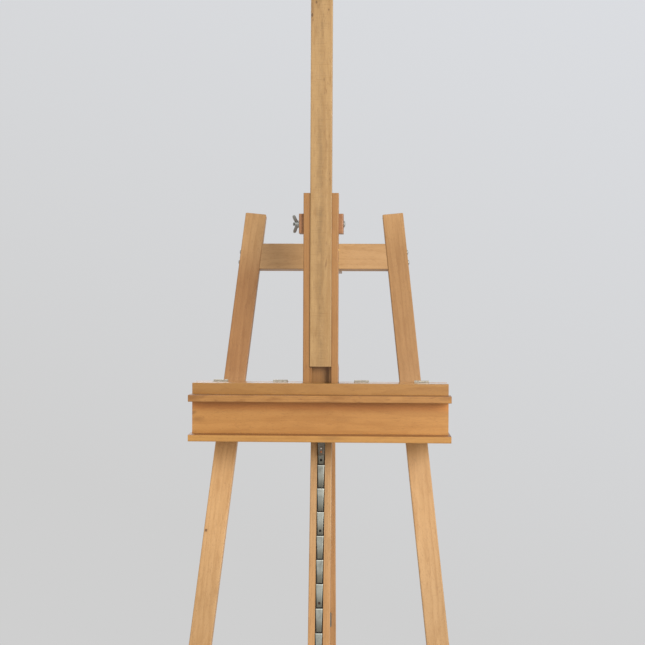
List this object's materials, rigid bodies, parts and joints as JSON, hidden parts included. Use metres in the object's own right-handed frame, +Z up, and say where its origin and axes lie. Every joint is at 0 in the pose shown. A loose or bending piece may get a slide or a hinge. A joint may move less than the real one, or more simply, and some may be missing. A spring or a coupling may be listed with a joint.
{
  "type": "studio easel",
  "caption": "Wooden studio easel with a leaning front frame, hinged rear leg and a ratcheted brush tray that carries a telescopic mast and clamp-on canvas holder.",
  "frame": {"origin": "on the floor, at the middle of the bounding box", "axes": "+X to the viewer's right along the tray, +Y away from the viewer towards the rear leg, +Z up"},
  "size_m": [0.6624, 0.7816, 2.05],
  "materials": {
    "beech_stand": "satin varnished beech, grain along each piece",
    "beech_mast": "worn satin varnished beech",
    "beech_channel": "satin varnished beech, darker",
    "beech_tray": "glossy varnished beech, grain along the tray",
    "beech_carriage": "satin varnished beech",
    "steel_rack": "dull zinc plated pressed steel",
    "steel_fittings": "zinc plated",
    "brass": "dull brass",
    "black_knob": "moulded black knob on a steel screw"
  },
  "bodies": {
    "stand": {"left_front_leg": "beech_stand", "right_front_leg": "beech_stand", "centre_post": "beech_stand", "head_crossbar": "beech_stand", "lower_crossbar": "beech_stand", "ratchet_strip": "steel_rack", "ratchet_screws": "steel_fittings", "head_bolts": "steel_fittings", "lower_bolts": "steel_fittings", "rear_hinge_block_left": "beech_stand", "rear_hinge_block_right": "beech_stand", "rear_hinge_bolt": "steel_fittings", "hinge_block_screws": "steel_fittings", "stay_bracket_front": "steel_fittings"},
    "rear_leg": {"rear_leg": "beech_stand", "stay_bracket_rear": "steel_fittings"},
    "stay_front": {"stay_front_bar": "steel_fittings"},
    "stay_rear": {"stay_rear_bar": "steel_fittings"},
    "carriage": {"carriage_front_plate": "beech_carriage", "carriage_cheek_left": "beech_carriage", "carriage_cheek_right": "beech_carriage", "carriage_back_plate": "beech_carriage", "carriage_screws": "steel_fittings", "tilt_pivot_bolt": "steel_fittings", "tilt_lock_bolt": "steel_fittings", "pawl_pin": "steel_fittings"},
    "pawl": {"pawl": "steel_rack", "pawl_rivets": "brass"},
    "tray": {"tray_front_board": "beech_tray", "tray_back_board": "beech_tray", "tray_bottom_board": "beech_tray", "canvas_ledge": "beech_tray", "tray_end_left": "beech_tray", "tray_end_right": "beech_tray", "channel_back": "beech_channel", "channel_cheek_left": "beech_channel", "channel_cheek_right": "beech_channel", "clamp_yoke": "beech_channel", "yoke_bolt": "steel_fittings", "tilt_arm_left": "beech_carriage", "tilt_arm_right": "beech_carriage", "lid_hinge_leaves": "brass"},
    "lid_left": {"brush_lid_left": "beech_tray", "lid_leaves_left": "brass"},
    "lid_right": {"brush_lid_right": "beech_tray", "lid_leaves_right": "brass"},
    "yoke_nut": {"yoke_wing_nut": "steel_fittings"},
    "tilt_nut_left": {"tilt_wing_nut_left": "steel_fittings"},
    "tilt_nut_right": {"tilt_wing_nut_right": "steel_fittings"},
    "mast": {"upper_mast": "beech_mast"},
    "canvas_holder": {"holder_block": "beech_mast", "holder_lip": "beech_mast"},
    "holder_screw": {"holder_knob": "black_knob"}
  },
  "joints": [
    {"name": "rear_leg_fold", "type": "hinge", "parent": "stand", "child": "rear_leg", "pos_m": [0, 0.01147, 1.19782], "axis": [-1, 0, 0], "range_deg": [0, 30]},
    {"name": "stay_front_fold", "type": "hinge", "parent": "stand", "child": "stay_front", "pos_m": [0, -0.27459, 0.22617], "axis": [1, 0, 0], "range_deg": [0, 72.5]},
    {"name": "stay_rear_fold", "type": "hinge", "parent": "rear_leg", "child": "stay_rear", "pos_m": [0, 0.28297, 0.22259], "axis": [-1, 0, 0], "range_deg": [0, 70.7]},
    {"name": "tray_height", "type": "slide", "parent": "stand", "child": "carriage", "axis": [0, 0.2419, 0.9703], "range_m": [-0.44, 0.22]},
    {"name": "pawl_release", "type": "hinge", "parent": "carriage", "child": "pawl", "pos_m": [0, -0.20195, 0.7986], "axis": [-1, 0, 0], "range_deg": [0, 20]},
    {"name": "tray_tilt", "type": "hinge", "parent": "carriage", "child": "tray", "pos_m": [0, -0.20536, 0.81], "axis": [1, 0, 0], "range_deg": [-11, 8]},
    {"name": "lid_left_open", "type": "hinge", "parent": "tray", "child": "lid_left", "pos_m": [-0.165, -0.23236, 0.9245], "axis": [-1, 0, 0], "range_deg": [0, 100]},
    {"name": "lid_right_open", "type": "hinge", "parent": "tray", "child": "lid_right", "pos_m": [0.165, -0.23236, 0.9245], "axis": [-1, 0, 0], "range_deg": [0, 100]},
    {"name": "yoke_nut_turn", "type": "hinge", "parent": "tray", "child": "yoke_nut", "pos_m": [-0.056, -0.24086, 1.2905], "axis": [-1, 0, 0], "range_deg": [0, 180]},
    {"name": "tilt_nut_left_turn", "type": "hinge", "parent": "carriage", "child": "tilt_nut_left", "pos_m": [-0.057, -0.19036, 0.87016], "axis": [-1, 0, 0], "range_deg": [0, 180]},
    {"name": "tilt_nut_right_turn", "type": "hinge", "parent": "carriage", "child": "tilt_nut_right", "pos_m": [0.057, -0.19036, 0.87016], "axis": [1, 0, 0], "range_deg": [0, 180]},
    {"name": "mast_extend", "type": "slide", "parent": "tray", "child": "mast", "axis": [0, 0, 1], "range_m": [-0.12, 0.25]},
    {"name": "holder_slide", "type": "slide", "parent": "mast", "child": "canvas_holder", "axis": [0, 0, 1], "range_m": [-0.36, 0.12]},
    {"name": "holder_knob_turn", "type": "hinge", "parent": "canvas_holder", "child": "holder_screw", "pos_m": [0, -0.21936, 1.88], "axis": [0, 1, 0], "range_deg": [0, 180]}
  ],
  "couplings": [
    {"joint": "stay_front_fold", "follows": "rear_leg_fold", "ratio": 2.4107},
    {"joint": "stay_rear_fold", "follows": "rear_leg_fold", "ratio": 2.3517}
  ]
}
